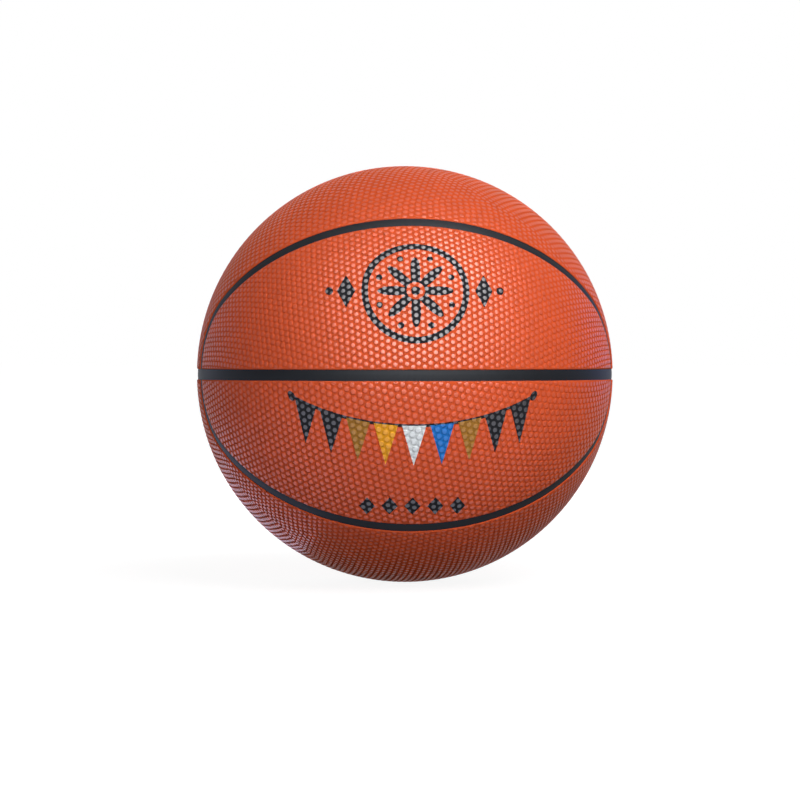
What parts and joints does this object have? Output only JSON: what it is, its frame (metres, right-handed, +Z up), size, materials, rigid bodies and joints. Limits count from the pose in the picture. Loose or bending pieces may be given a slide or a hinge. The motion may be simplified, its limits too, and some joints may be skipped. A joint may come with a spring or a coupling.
{
  "type": "basketball",
  "caption": "Pebbled rubber basketball of eight panels with recessed channels, built in layers round an air bladder with a needle valve.",
  "frame": {"origin": "centre of the ball, which is the centre of its box", "axes": "+Z up, square to the plane of the equator channel. +Y runs from the front, where one closed loop of channel lies round -Y, to the back, out along the valve's needle hole. +X is to the right of someone who looks at the front, and the straight channels cross on it and on -X"},
  "size_m": [0.2218, 0.2216, 0.2218],
  "materials": {
    "cover_rubber": "moulded and pebbled, satin",
    "channel_rubber": "smooth, slightly glossy",
    "valve_rubber": "smooth, matt",
    "carcass_rubber": "matt",
    "bladder_rubber": "matt, dusted with talc",
    "winding_thread": "wound nylon thread"
  },
  "bodies": {
    "root": {"bladder": "bladder_rubber", "valve_patch": "bladder_rubber", "valve_housing": "valve_rubber", "valve_core": "valve_rubber", "thread_winding": "winding_thread", "carcass": "carcass_rubber", "valve_boss": "channel_rubber", "equator_strip": "channel_rubber", "upper_meridian_strip": "channel_rubber", "lower_meridian_strip": "channel_rubber", "front_upper_loop_strip": "channel_rubber", "front_lower_loop_strip": "channel_rubber", "back_upper_loop_strip": "channel_rubber", "back_lower_loop_strip": "channel_rubber", "front_upper_panel": "cover_rubber", "front_lower_panel": "cover_rubber", "back_upper_panel": "cover_rubber", "back_lower_panel": "cover_rubber", "front_upper_band": "cover_rubber", "front_lower_band": "cover_rubber", "back_upper_band": "cover_rubber", "back_lower_band": "cover_rubber"}
  },
  "joints": []
}
